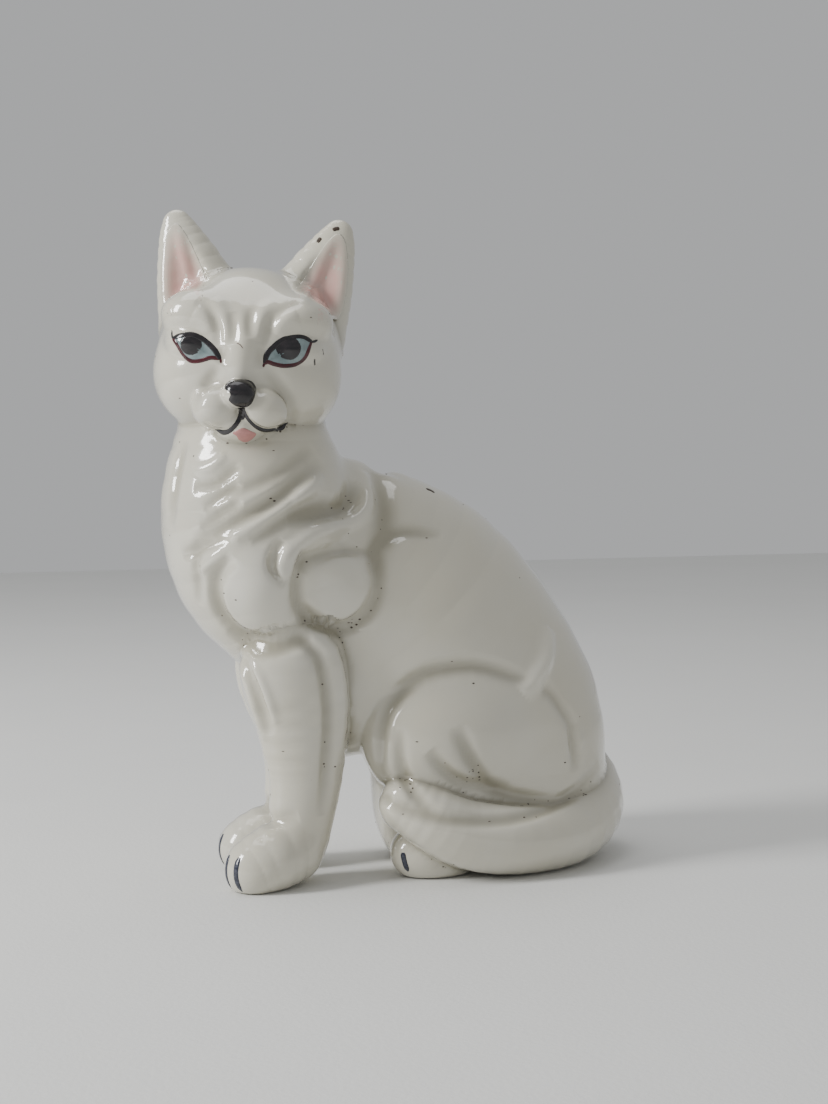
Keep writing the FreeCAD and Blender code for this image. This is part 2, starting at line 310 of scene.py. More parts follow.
RUFF_LINES = [
    # outline of the lower tuft, and its rounded belly
    (2.0, 3.4, [(-44.5, 94), (-49.5, 88.5), (-50.3, 82), (-47.5, 75.5), (-41, 71), (-34, 69.6), (-24, 72)]),
    (8.0, -3.0, [(-37, 97), (-38, 84), (-36, 72)]),
    # outline of the upper tuft, and its rounded belly
    (1.9, 4.0, [(-25, 95.5), (-26, 93.5), (-27.7, 87.5), (-27.5, 80.5), (-23, 75.5), (-16.5, 73.7),
                (-9.5, 77.3), (-6, 84), (-6, 92), (-9, 96)]),
    (1.8, 2.6, [(-27.7, 90.4), (-23.7, 93.6), (-15, 95), (-5.6, 94.4)]),
    (7.0, -3.6, [(-17.5, 97), (-17, 85), (-16, 72)]),
    # small curl between the tufts
    (1.6, 2.8, [(-31, 98.5), (-34, 94), (-34.5, 90.5), (-31.5, 86)]),
    (2.4, -1.7, [(-31.3, 98), (-30.6, 94), (-30.6, 88)]),
    # hooked lock and its hollow
    (2.0, -2.6, [(-30, 92.5), (-27.7, 97), (-21.7, 101), (-13.3, 103.3), (-8.6, 108), (-10.2, 117.5)]),
    (2.5, 4.0, [(-30, 104.2), (-20.5, 105.8), (-14.8, 107.6), (-12.2, 114)]),
    (1.6, -1.4, [(-21, 116), (-25, 112), (-29, 109)]),
    # long locks that sweep from the nape to the breast
    (2.2, 2.8, [(-21.5, 120.5), (-32, 110.5), (-41.5, 104.3), (-56, 97.5)]),
    (2.1, 2.2, [(-24, 124), (-33.5, 115.5), (-46, 109.5)]),
    (2.0, 2.2, [(-18, 110), (-28.3, 105.6), (-40, 98.3)]),
    (2.4, -1.6, [(-22, 114), (-34, 106.5), (-44, 100.5), (-54, 94.5)]),
    (2.2, -1.4, [(-26, 120.5), (-37, 112.5), (-49, 106.5)]),
    # short locks on the breast
    (1.5, 1.9, [(-43, 119), (-49, 114.3), (-56, 113)]),
    (1.4, 1.7, [(-43, 114), (-47, 111.3), (-53, 107.3)]),
    (1.4, 1.7, [(-42, 109), (-47, 106.5), (-54, 102)]),
    (1.5, 1.9, [(-44, 99.5), (-53, 96.3), (-60, 94)]),
    (1.4, -1.2, [(-47, 122), (-51, 118.5), (-57, 117.5)]),
    (1.3, -1.0, [(-47, 95), (-52, 92), (-57, 88)]),
    (2.0, 1.4, [(-59.3, 126), (-61.6, 116), (-63.5, 101)]),
    (1.6, 1.4, [(-55.7, 98.5), (-55.5, 90), (-55.3, 80)]),
    # over the shoulder
    (1.8, 3.2, [(-6, 86), (-7, 94.5), (-4.3, 98), (1.4, 100.3), (12.4, 99)]),
    (3.4, 2.2, [(-8, 122), (-4.2, 109), (-4.4, 100.6), (-7.5, 88)])]

LEG_LINES = [
    # under the ruff
    (1.8, 2.2, [(-47.7, 72.8), (-41, 68.4), (-34, 67.9), (-24, 71.2)]),
    # down the front of the leg
    (1.5, 1.4, [(-43.3, 66), (-39, 56), (-35.6, 44)]),
    (1.4, -0.9, [(-44.5, 64), (-40.5, 52), (-37.5, 42)]),
    (1.5, -0.9, [(-41, 66), (-36.7, 56), (-34, 47)]),
    # long groove behind the leg and the strap of muscle beyond it
    (1.7, 2.6, [(-29.4, 72.7), (-22.3, 66), (-19.6, 52), (-20.3, 35), (-22, 20.5)]),
    (2.2, -1.6, [(-26, 72.5), (-18.6, 67), (-15.9, 52), (-17, 34)]),
    # ankle
    (2.0, 1.0, [(-44, 17), (-36, 19), (-28, 21.2)])]

HAUNCH_LINES = [
    (2.0, 2.6, [(-5.2, 28.5), (-4.6, 45.5), (-0.6, 53.2), (7.3, 59.6), (21.6, 61.6), (33, 58.2), (40, 56)]),
    (1.7, 1.9, [(0.3, 45), (0.8, 33.3), (4.6, 26.5), (11, 20.5)]),
    (1.8, 3.0, [(8.4, 38.3), (14.5, 31), (21, 27.4), (31.8, 25)]),
    (2.0, 3.4, [(16.4, 45), (21.4, 33.6), (28, 25), (46, 20.6)]),
    (2.0, 2.6, [(41.5, 55), (46, 50), (51, 42), (51.8, 29)])]

# spur above the haunch and the fold behind it, on the cat's left only
SPUR_LINES = [
    (2.6, -2.8, [(35.5, 53), (40, 58.5), (42.6, 63), (44.2, 71)]),
    (2.0, -1.4, [(42.5, 53), (49.5, 46), (54, 34)])]

TAIL_LINES = [
    (1.8, 2.2, [(-9, 27), (0.8, 23), (14.3, 19.6), (31.6, 18.3), (48.7, 21), (60, 29)])]

FACE_LINES = [
    # brows, and the furrows between them
    (1.5, 0.9, [(-6.6, -1), (-6.3, 3), (-7.2, 6.5), (-10, 10.5), (-13.5, 12)]),
    (1.5, 0.9, [(5.6, -0.8), (6.4, 4), (7.8, 8), (11.2, 11.4), (15.3, 13.3)]),
    (2.6, -0.7, [(-8.8, 3.5), (-10, 7), (-13.5, 9)]),
    (2.6, -0.7, [(8.6, 4.5), (10.5, 8), (14.5, 10)]),
    (1.8, 0.9, [(-2.2, 0.5), (-2.3, 4.5), (-3.2, 9.5)]),
    (1.8, 0.9, [(2.5, 2.6), (2.0, 7), (2.2, 11)]),
    (1.9, -0.8, [(4.3, 2), (4.1, 6.5), (5.2, 10.5), (8, 13.5)]),
    (1.9, -0.7, [(-4.6, 1), (-4.5, 5), (-6, 9.5), (-9, 13)]),
    # inner corners of the eyes
    (1.4, 0.8, [(5.6, -5.2), (5.4, -2), (6, 0.5)]),
    (1.4, 0.8, [(-5.0, -5), (-5.1, -2.4), (-5.8, 0)]),
    # cheeks, where they meet the muzzle
    (1.8, 1.0, [(6.5, -4.8), (9.6, -8.2), (12.9, -12.4), (14.3, -17), (13.6, -21)]),
    (1.8, 0.9, [(-5.9, -5), (-7.9, -9), (-10.6, -13.4), (-12, -18)]),
    # fold inside each ear
    (1.3, -1.3, [(-22.4, 34), (-20.6, 28), (-18.8, 21), (-17.6, 14)]),
    (1.6, -1.0, [(22.0, 34), (19.4, 28), (16.8, 20), (15.6, 13)]),
    # mouth
    (0.9, 1.3, [(0.9, -16.6), (0.4, -19.8), (-1.6, -22.2), (-3.8, -22.9), (-6.4, -22.2), (-9, -20.5)]),
    (0.9, 1.3, [(1.3, -16.6), (3.3, -19.6), (5.6, -21.3), (8.2, -21.7), (11.2, -20.6), (12.9, -18.8)]),
    (1.1, 0.9, [(1.0, -15.2), (1.1, -20.4)])]


def settled(starts, direction, form, reach=80.0, steps=70):
    """Moves points along a direction until they meet the form."""
    p = rows(starts) - reach * direction
    for _ in range(steps):
        p = p + np.clip(form(p) * 0.75, -2, 6)[:, None] * direction
    return p


def mark(path, width, depth):
    reach = 2.6 * width
    return Mark(path, path.min(0) - reach, path.max(0) + reach, width, depth)


def side_marks(lines, form, flip=False, shift=(0, 0, 0)):
    """Side drawings laid on the form; flip draws them on the cat's right, moved by shift."""
    turn = rows([-1, 1, 1]) if flip else rows([1, 1, 1])
    marks = []
    for width, depth, points in lines:
        points = smooth_path(points, 3)
        starts = (points[:, :1] * SIDE_ALONG + points[:, 1:] * rows([0, 0, 1])) * turn + rows(shift)
        marks.append(mark(settled(starts, -SIDE_OUT * turn, form), width, depth))
    return marks


def on_head(points, form):
    """Places across and up the face, carried onto the form in front of them."""
    points = np.asarray(points, np.float32)
    flat = np.stack([points[:, 0], np.zeros(len(points), np.float32), points[:, 1]], 1)
    return settled(from_head(flat), HEAD_FRAME[:, 1], form, 60.0)


def relief(p, marks):
    """How far the marks cut into the form at each point."""
    out = np.zeros(p.shape[:-1], np.float32)
    for m in marks:
        inside = np.all((p > m.low) & (p < m.high), -1)
        if inside.any():
            d, along = near_path(p[inside], m.path)
            taper = np.clip(np.sin(math.pi * along), 0, 1) ** 0.75
            out[inside] += m.depth * np.exp(-(d / m.width) ** 2) * taper
    return out


def all_marks():
    marks = side_marks(RUFF_LINES + LEG_LINES + HAUNCH_LINES + SPUR_LINES + TAIL_LINES, plain_figure)
    marks += side_marks(RUFF_LINES, plain_figure, True)
    marks += side_marks(LEG_LINES, plain_figure, True, (3, 6.5, 0))
    marks += side_marks(HAUNCH_LINES, plain_figure, True, (0, 13, 0))
    for width, depth, points in FACE_LINES:
        marks.append(mark(on_head(smooth_path(points, 3), plain_figure), width, depth))
    return marks


MARKS = all_marks()


def modelled(forms, p):
    """The castings as one form with the modelled lines, cut off flat at the foot."""
    return -join(-blended(forms) - relief(p, MARKS), p[..., 2], 1.6)


def figure(p):
    return modelled(all_forms(p), p)


PROBE = rows([(1, -1, -1), (-1, -1, 1), (-1, 1, -1), (1, 1, 1)])


def in_parallel(work, p, size=16000):
    """Runs work over some points at a time, several at once, and puts the results together."""
    with ThreadPoolExecutor(4) as pool:
        return np.concatenate(list(pool.map(work, np.array_split(p, max(1, len(p) // size)))))


def probed(form, p, step=0.2):
    """Value and gradient of a form, from four samples round each point: columns value, x, y, z."""
    def work(some):
        samples = [form(some + corner * step) for corner in PROBE]
        value = sum(samples) / 4
        slopes = [sum(corner[axis] * sample for corner, sample in zip(PROBE, samples)) for axis in range(3)]
        return np.stack([value] + [one / (4 * step) for one in slopes], -1)
    return in_parallel(work, p)


def slope(form, p):
    return probed(form, p)[:, 1:]


def onto(form, p, rounds=2):
    """Points pulled onto a form's surface."""
    for _ in range(rounds):
        found = probed(form, p)
        g = found[:, 1:]
        p = p - np.clip(found[:, 0] / np.maximum((g * g).sum(-1), 0.05), -0.6, 0.6)[:, None] * g
    return p


# ---------------------------------------------------------------- castings
def surface_of(form, low, high, step, block=4):
    """Quads of a form's surface, on a grid that is worked out only near it."""
    low, high = np.asarray(low, float), np.asarray(high, float)
    count = np.ceil((high - low) / (step * block)).astype(int)
    axes = [low[i] + step * block * (np.arange(count[i]) + 0.5) for i in range(3)]
    coarse = rows(np.stack(np.meshgrid(*axes, indexing="ij"), -1).reshape(-1, 3))
    far = in_parallel(form, coarse).reshape(count)
    full = np.where(far > 0, 3 * step, -3 * step).astype(np.float32)
    for axis in range(3):
        full = np.repeat(full, block, axis)
    corner = np.argwhere(np.abs(far) < step * block * 1.5)
    inner = np.stack(np.meshgrid(*[np.arange(block)] * 3, indexing="ij"), -1).reshape(-1, 3)
    cells = (corner[:, None, :] * block + inner[None]).reshape(-1, 3)
    values = in_parallel(form, rows(low + step * (cells + 0.5)))
    full[cells[:, 0], cells[:, 1], cells[:, 2]] = np.clip(values, -3 * step, 3 * step)
    grid = openvdb.FloatGrid(3 * step)
    grid.copyFromArray(full)
    points, quads = grid.convertToQuads(0.0)
    return rows(low + step * (points + 0.5)), quads


def share_of(name, forms):
    """Negative where a point belongs to the named casting rather than to another."""
    return 0.5 * (forms[name] - np.min([d for other, d in forms.items() if other != name], 0))


def casting(name, step, cavity=None):
    """The named part of the figure as a closed solid, its outside smooth across the joints."""
    low, high = (rows(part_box(name)[i]) * 1000 - ORIGIN for i in (0, 1))

    def part(p):
        forms = all_forms(p)
        d = np.maximum(modelled(forms, p), share_of(name, forms))
        return d if cavity is None else np.maximum(d, -cavity(p))

    def share(p):
        return share_of(name, all_forms(p))

    points, quads = surface_of(part, low - 7, high + 7, step)
    points = onto(part, points)
    skin, joint = in_parallel(figure, points), in_parallel(share, points)
    seam = (np.abs(joint) < 0.7 * step) & (np.abs(skin) < 0.7 * step)
    edge = points[seam]
    for _ in range(3):
        a, b = probed(figure, edge), probed(share, edge)
        ga, gb = a[:, 1:], b[:, 1:]
        aa, bb, ab = (ga * ga).sum(-1), (gb * gb).sum(-1), (ga * gb).sum(-1)
        det = np.maximum(aa * bb - ab * ab, 0.02)
        u = np.clip((a[:, 0] * bb - b[:, 0] * ab) / det, -1, 1)
        v = np.clip((b[:, 0] * aa - a[:, 0] * ab) / det, -1, 1)
        edge = edge - u[:, None] * ga - v[:, None] * gb
    points[seam] = edge
    return points, quads


def new_object(name, points, faces):
    """Mesh object at the origin from millimetre points laid out from the body's middle."""
    mesh = bpy.data.meshes.new(name)
    mesh.from_pydata(((points + ORIGIN) * MM).tolist(), [], [tuple(int(i) for i in f) for f in faces])
    mesh.validate()
    mesh.update()
    piece = bpy.data.objects.new(name, mesh)
    bpy.context.scene.collection.objects.link(piece)
    return piece


def read_out(collection, field, width=1, kind=np.float32):
    """A mesh field as an array, one row to each element."""
    values = np.empty(len(collection) * width, kind)
    collection.foreach_get(field, values)
    return values if width == 1 else values.reshape(-1, width)


def add_tone(mesh, name, values):
    """Stores a number on each point for the materials and the specks to read."""
    mesh.attributes.new(name, "FLOAT", "POINT").data.foreach_set("value", values.astype(np.float32))


def shade_smooth(mesh):
    mesh.polygons.foreach_set("use_smooth", np.ones(len(mesh.polygons), bool))


def add_casting(name, step, cavity=None):
    """The named casting under white glaze, its shading normals taken from the whole figure."""
    points, quads = casting(name, step, cavity)
    piece = new_object(name + "_glazed", points, quads)
    mesh = piece.data
    points = read_out(mesh.vertices, "co", 3) / MM - ORIGIN
    found = probed(figure, points)
    normal = found[:, 1:] / (np.linalg.norm(found[:, 1:], axis=-1)[:, None] + 1e-9)
    on_skin = np.abs(found[:, 0]) < 0.06
    corner = read_out(mesh.loops, "vertex_index", kind=np.int32)
    sizes = read_out(mesh.polygons, "loop_total", kind=np.int32)
    face_of = np.repeat(np.arange(len(sizes)), sizes)
    skin_face = np.bincount(face_of, on_skin[corner], len(sizes)) == sizes
    flat = read_out(mesh.polygons, "normal", 3)
    shade_smooth(mesh)
    loops = np.where(skin_face[face_of][:, None], normal[corner], flat[face_of])
    mesh.normals_split_custom_set(loops.tolist())
    cut = relief(points, MARKS)
    nearest = np.sort([form(points) for form in PARTS.values()], 0)
    joint = np.exp(-np.clip(nearest[1] - nearest[0], 0, 9) / 1.4)
    # Crease tone: how deep a modelled groove cuts and how near another casting lies; the glaze darkens there
    # as pooled glaze and as painted shade.
    add_tone(mesh, "crease", np.clip(cut / 1.7 + 0.9 * joint, 0, 1))
    # Ridge tone: how far a modelled line stands out; the glaze is lightened there as a painted highlight.
    add_tone(mesh, "ridge", np.clip(-cut / 1.4, 0, 1))
    return finish_piece(piece, name, "white_glaze", "white_glaze")


# ---------------------------------------------------------------- painted features
# Face drawings run across and up the head, in millimetres.
EYES = {
    "left": {
        "upper": [(6.3, -3.8), (6.9, -1.3), (8.4, 0.6), (10.4, 2.5), (13.4, 3.7), (16.1, 4.0), (18.5, 3.0)],
        "lower": [(18.5, 3.0), (17.2, -1.2), (14.9, -3.3), (11.8, -4.1), (9.1, -3.9), (7.2, -3.4),
                  (6.3, -3.8)],
        "flick": [(17.6, 3.4), (18.8, 3.0), (20.0, 3.7)],
        "corner": [(6.7, -2.6), (6.3, -3.8), (6.0, -4.9)],
        "pupil": (12.4, 0.7, 3.5, 3.3)},
    "right": {
        "upper": [(-19.1, 1.6), (-17.0, 2.3), (-14.0, 2.8), (-11.2, 1.9), (-8.9, 0.4), (-7.2, -1.2),
                  (-5.7, -3.4)],
        "lower": [(-5.7, -3.4), (-8.2, -3.2), (-10.9, -4.1), (-13.7, -4.3), (-16.0, -2.7), (-17.7, -0.2),
                  (-19.1, 1.6)],
        "flick": [(-18.2, 1.9), (-19.3, 1.9), (-19.8, 3.9)],
        "corner": [(-6.2, -2.6), (-5.6, -3.4), (-5.3, -4.6)],
        "pupil": (-13.7, -0.1, 3.1, 2.8)}}
NOSE = [(-3.5, -11.4), (-3.0, -9.3), (0.2, -8.6), (3.2, -8.9), (4.6, -11.2), (4.1, -14.4), (2.5, -16.0),
        (-0.4, -15.9), (-2.4, -14.3)]
LIP = [(-1.2, -23.2), (0.2, -22.2), (1.9, -21.6), (3.6, -22.2), (5.0, -22.9), (3.8, -24.4), (2.0, -25.3),
       (0.2, -24.6)]
MOUTH = {
    "left": [(1.4, -16.6), (3.3, -19.6), (5.6, -21.3), (8.2, -21.8), (11.2, -20.8), (12.9, -19.0)],
    "right": [(0.8, -16.6), (0.3, -19.8), (-1.6, -22.2), (-3.8, -23.0), (-6.4, -22.4)],
    "middle": [(1.1, -16.2), (1.1, -17.8), (1.1, -19.4)]}
LASH_DOTS = [[(21.4, 1.4), (21.7, 0.0)], [(19.5, -1.6), (19.6, -3.1)]]
BACK_CHIP = [(7.8, 112.1), (9.0, 111.7), (10.2, 111.0)]
EAR_CHIPS = [[(21.4, 36.4), (22.2, 36.9), (23.2, 37.0)], [(17.3, 32.6), (17.7, 33.4), (18.2, 34.0)]]
HAIRLINE = [(-1.4, 1.0), (-0.3, 0.6), (0.6, -0.4)]
EAR_CUP = [(11.8, 12), (13.4, 20), (17.2, 28), (20.6, 33.5), (23.2, 35.6), (25.3, 33), (26.4, 26),
           (26.2, 18), (24.4, 11), (18.5, 7.6)]


def skin_normal(points):
    normal = slope(figure, points)
    return normal / (np.linalg.norm(normal, axis=-1)[:, None] + 1e-9)


def closed_outline(points, cuts=6):
    """Smooth closed curve through places on a drawing."""
    points = np.asarray(points, float)
    if np.allclose(points[0], points[-1]):
        points = points[:-1]
    ring = np.vstack([points[-2:], points, points[:2]])
    path = smooth_path(ring, cuts)
    return path[2 * cuts:-2 * cuts][:-1]


def coat(name, outline, thickness, start=None, mirrored=False, shape=0.3):
    """Thin enamel lens over an outline drawn on the face, closed underneath.

    The attribute "tone" runs from 1 in the middle to 0 at the edge."""
    outline = np.asarray(outline, np.float32)
    middle = outline.mean(0) if start is None else rows(start)
    shares = [0.0, 0.2, 0.38, 0.54, 0.68, 0.8, 0.9, 0.97, 1.0]
    sheets = np.concatenate([middle + share * (outline - middle) for share in shares[1:]])
    flat = np.concatenate([middle[None], sheets])
    if mirrored:
        flat = flat * rows([-1, 1])
    on = onto(figure, on_head(flat, figure), 2)
    normal = skin_normal(on)
    count = len(outline)
    ring_share = np.concatenate([[0.0], np.repeat(shares[1:], count)])
    lift = thickness * (1 - ring_share ** 4) ** shape
    top = on + normal * (lift[:, None] + 0.02)
    low = on[:-count] - normal[:-count] * 0.06
    points = np.concatenate([top, low])
    under = len(top)
    faces = []
    for i in range(count):
        j = (i + 1) % count
        faces.append((0, 1 + i, 1 + j))
        faces.append((under, under + 1 + j, under + 1 + i))
        for r in range(len(shares) - 2):
            a, b = 1 + r * count, 1 + (r + 1) * count
            faces.append((a + i, b + i, b + j, a + j))
            c, d = under + a, (under + b if r < len(shares) - 3 else b)
            faces.append((c + i, c + j, d + j, d + i))
    turn = np.cross(points[faces[0][1]] - points[0], points[faces[0][2]] - points[0]) @ normal[0]
    if turn < 0:
        faces = [face[::-1] for face in faces]
    piece = new_object(name, points, faces)
    add_tone(piece.data, "tone", np.concatenate([1 - ring_share, 1 - ring_share[:-count]]))
    shade_smooth(piece.data)
    return piece


def join_pieces(name, pieces):
    """One object from several, its material slots kept apart."""
    first = pieces[0]
    with bpy.context.temp_override(active_object=first, object=first, selected_objects=pieces,
                                   selected_editable_objects=pieces):
        bpy.ops.object.join()
    first.name = name
    first.data.name = name
    return first


# ---------------------------------------------------------------- geometry nodes
def put(tree, kind, settings=None, **sockets):
    """Adds a node; a socket's value is a number, a name or another node's output."""
    node = tree.nodes.new(kind)
    for key, value in (settings or {}).items():
        setattr(node, key, value)
    for key, value in sockets.items():
        by_place = key[0] == "i" and key[1:].isdigit()
        socket = node.inputs[int(key[1:]) if by_place else key.replace("_", " ")]
        if isinstance(value, bpy.types.NodeSocket):
            tree.links.new(value, socket)
        else:
            socket.default_value = value
    return node


def calc(tree, operation, a, b):
    """Result of a math node."""
    return put(tree, "ShaderNodeMath", {"operation": operation}, i0=a, i1=b).outputs[0]


def vector_calc(tree, operation, a, b):
    return put(tree, "ShaderNodeVectorMath", {"operation": operation}, i0=a, i1=b)


def stored(tree, kind, name):
    """A named attribute of the geometry, as a socket."""
    node = put(tree, "GeometryNodeInputNamedAttribute", {"data_type": kind}, Name=name)
    return node.outputs["Attribute"]


def spread(tree, value, low, high, to_low=0.0, to_high=1.0):
    """Carries a value's range low to high onto another range."""
    node = put(tree, "ShaderNodeMapRange", Value=value)
    for label, number in (("From Min", low), ("From Max", high), ("To Min", to_low), ("To Max", to_high)):
        node.inputs[label].default_value = number
    return node.outputs["Result"]


def end_with(tree, given, geometry):
    """Closes a tree: real geometry, shaded smooth, with the material it is given."""
    real = put(tree, "GeometryNodeRealizeInstances", Geometry=geometry)
    smooth = put(tree, "GeometryNodeSetShadeSmooth", Geometry=real.outputs["Geometry"])
    painted = put(tree, "GeometryNodeSetMaterial", Geometry=smooth.outputs["Geometry"],
                  Material=given["Material"])
    put(tree, "NodeGroupOutput", Geometry=painted.outputs["Geometry"])
    return tree


def group(name, inputs):
    """Geometry node group with geometry in and out; gives the tree and its input sockets."""
    tree = bpy.data.node_groups.new(name, "GeometryNodeTree")
    tree.interface.new_socket("Geometry", in_out="INPUT", socket_type="NodeSocketGeometry")
    tree.interface.new_socket("Geometry", in_out="OUTPUT", socket_type="NodeSocketGeometry")
    for label, kind, default, lowest in inputs:
        socket = tree.interface.new_socket(label, in_out="INPUT", socket_type=kind)
        if default is not None:
            socket.default_value = default
            socket.min_value = lowest
    return tree, tree.nodes.new("NodeGroupInput").outputs


def stroke_tree():
    """Brush stroke: a bead along a line that lies on the glaze, pressed flat against it."""
    tree, given = group("brush_stroke", [
        ("Flatness", "NodeSocketFloat", 0.2, 0.0), ("Bead sides", "NodeSocketInt", 12, 3),
        ("Material", "NodeSocketMaterial", None, 0)])
    place = put(tree, "GeometryNodeInputPosition").outputs[0]
    keep = put(tree, "GeometryNodeStoreNamedAttribute", {"data_type": "FLOAT_VECTOR", "domain": "POINT"},
               Geometry=given["Geometry"], Name="spine", Value=place)
    line = put(tree, "GeometryNodeMeshToCurve", Mesh=keep.outputs["Geometry"])
    bead = put(tree, "GeometryNodeCurvePrimitiveCircle", {"mode": "RADIUS"}, Resolution=given["Bead sides"])
    bead.inputs["Radius"].default_value = 1.0
    tube = put(tree, "GeometryNodeCurveToMesh", Curve=line.outputs["Curve"],
               Profile_Curve=bead.outputs["Curve"], Scale=stored(tree, "FLOAT", "half_width"))
    tube.inputs["Fill Caps"].default_value = True
    up = stored(tree, "FLOAT_VECTOR", "up")
    here = put(tree, "GeometryNodeInputPosition").outputs[0]
    off = vector_calc(tree, "SUBTRACT", here, stored(tree, "FLOAT_VECTOR", "spine")).outputs[0]
    height = vector_calc(tree, "DOT_PRODUCT", off, up).outputs["Value"]
    lost = calc(tree, "MULTIPLY", height, calc(tree, "SUBTRACT", given["Flatness"], 1.0))
    move = put(tree, "ShaderNodeVectorMath", {"operation": "SCALE"}, i0=up, Scale=lost)
    pressed = put(tree, "GeometryNodeSetPosition", Geometry=tube.outputs["Mesh"], Offset=move.outputs[0])
    return end_with(tree, given, pressed.outputs["Geometry"])


SPECK_RADIUS = 0.0003
SPECKS_PER_AREA = 420000.0


def speck_tree():
    """Iron specks: small flat grains scattered over a casting, thickest where the glaze pools."""
    tree, given = group("iron_specks", [
        ("Grain radius", "NodeSocketFloat", SPECK_RADIUS, 0.0),
        ("Specks per area", "NodeSocketFloat", SPECKS_PER_AREA, 0.0),
        ("Seed", "NodeSocketInt", 0, 0), ("Material", "NodeSocketMaterial", None, 0)])
    sharp = calc(tree, "POWER", stored(tree, "FLOAT", "crease"), 4.0)
    patch = put(tree, "ShaderNodeTexNoise", Scale=70.0, Detail=2.0).outputs[0]
    crease_share = calc(tree, "MULTIPLY", sharp, spread(tree, patch, 0.48, 0.68))
    stray = calc(tree, "ADD", crease_share, 0.0035)
    place = put(tree, "ShaderNodeSeparateXYZ", Vector=put(tree, "GeometryNodeInputPosition").outputs[0])
    above_foot = spread(tree, place.outputs["Z"], MM, 2 * MM)
    density = calc(tree, "MULTIPLY", calc(tree, "MULTIPLY", stray, above_foot), given["Specks per area"])
    points = put(tree, "GeometryNodeDistributePointsOnFaces", Mesh=given["Geometry"], Density=density,
                 Seed=given["Seed"])
    size = put(tree, "FunctionNodeRandomValue", {"data_type": "FLOAT_VECTOR"}, i0=(0.35, 0.35, 0.2),
               i1=(1.5, 1.0, 0.4), Seed=given["Seed"])
    grain = put(tree, "GeometryNodeMeshIcoSphere", Radius=given["Grain radius"], Subdivisions=2)
    placed = put(tree, "GeometryNodeInstanceOnPoints", Points=points.outputs["Points"],
                 Instance=grain.outputs["Mesh"], Rotation=points.outputs["Rotation"],
                 Scale=size.outputs["Value"])
    return end_with(tree, given, placed.outputs["Instances"])


def grown(piece, tree, **values):
    """Plain mesh object that a node tree makes from a piece, which is left as it was."""
    modifier = piece.modifiers.new(tree.name, "NODES")
    modifier.node_group = tree
    for item in tree.interface.items_tree:
        label = item.name.replace(" ", "_")
        if item.in_out == "INPUT" and label in values:
            modifier[item.identifier] = values[label]
    view = bpy.context.evaluated_depsgraph_get()
    mesh = bpy.data.meshes.new_from_object(piece.evaluated_get(view))
    piece.modifiers.remove(modifier)
    made = bpy.data.objects.new(piece.name + "_made", mesh)
    bpy.context.scene.collection.objects.link(made)
    return made


def stroke(tree, on, width, paint, tips=(0.35, 0.35), flat=0.26):
    """Painted stroke along points on the skin, drawn out thin at its ends."""
    on = onto(figure, on, 2)
    along = np.linspace(0, 1, len(on))
    narrow = np.minimum(tips[0] + along * 5, tips[1] + (1 - along) * 5)
    half = 0.5 * width * np.clip(narrow, 0, 1) ** 0.8
    line = bpy.data.meshes.new("line")
    line.from_pydata(((on + ORIGIN) * MM).tolist(), [(i, i + 1) for i in range(len(on) - 1)], [])
    for label, kind, values in (("half_width", "FLOAT", half * MM), ("up", "FLOAT_VECTOR", skin_normal(on))):
        attribute = line.attributes.new(label, kind, "POINT")
        field = "value" if kind == "FLOAT" else "vector"
        attribute.data.foreach_set(field, np.ascontiguousarray(values, np.float32).ravel())
    guide = bpy.data.objects.new("guide", line)
    bpy.context.scene.collection.objects.link(guide)
    made = grown(guide, tree, Flatness=flat, Bead_sides=12, Material=paint)
    bpy.data.objects.remove(guide)
    return made


def face_stroke(tree, points, width, paint, tips=(0.35, 0.35), cuts=6):
    return stroke(tree, on_head(smooth_path(points, cuts), figure), width, paint, tips)


# ---------------------------------------------------------------- materials
def material(name):
    made = bpy.data.materials.new(name)
    made.use_nodes = True
    made.node_tree.nodes.clear()
    return made, made.node_tree


def mixed(tree, factor, a, b, mode="MIX"):
    """Colour between a and b."""
    node = put(tree, "ShaderNodeMix", {"data_type": "RGBA", "blend_type": mode})
    for index, value in ((0, factor), (6, a), (7, b)):
        if isinstance(value, bpy.types.NodeSocket):
            tree.links.new(value, node.inputs[index])
        else:
            node.inputs[index].default_value = value
    return node.outputs[2]


def noise(tree, scale, detail=3.0, rough=0.5):
    place = put(tree, "ShaderNodeTexCoord")
    node = put(tree, "ShaderNodeTexNoise", Vector=place.outputs["Object"], Scale=scale, Detail=detail,
               Roughness=rough)
    return node.outputs[0]


def attribute(tree, name):
    return put(tree, "ShaderNodeAttribute", {"attribute_name": name}).outputs["Fac"]


def rgba(colour):
    return (*colour, 1.0)


def surface(tree, colour, height, strength, roughness):
    """Surface shader with a colour, a bump height in millimetres and a roughness, set as the output."""
    bump = put(tree, "ShaderNodeBump", Height=height)
    bump.inputs["Strength"].default_value = strength
    bump.inputs["Distance"].default_value = MM
    shader = put(tree, "ShaderNodeBsdfPrincipled", Base_Color=colour, Roughness=roughness,
                 Normal=bump.outputs[0])
    put(tree, "ShaderNodeOutputMaterial", Surface=shader.outputs[0])
    return shader


def glossy(tree, colour, height, roughness, coat=1.0):
    """Fired gloss surface."""
    shader = surface(tree, colour, height, 1.0, roughness)
    for label, value in (("Coat Weight", coat), ("Coat Roughness", 0.04), ("Coat IOR", 1.5), ("IOR", 1.5),
                         ("Specular IOR Level", 0.5)):
        shader.inputs[label].default_value = value


def waviness(tree, fine=0.004, broad=0.05):
    """Height of the glaze in millimetres: broad flow marks and fine orange peel."""
    flow = spread(tree, noise(tree, 90.0, 2.0), 0.0, 1.0, 0.0, broad)
    peel = spread(tree, noise(tree, 900.0, 2.0), 0.0, 1.0, 0.0, fine)
    return calc(tree, "ADD", flow, peel)


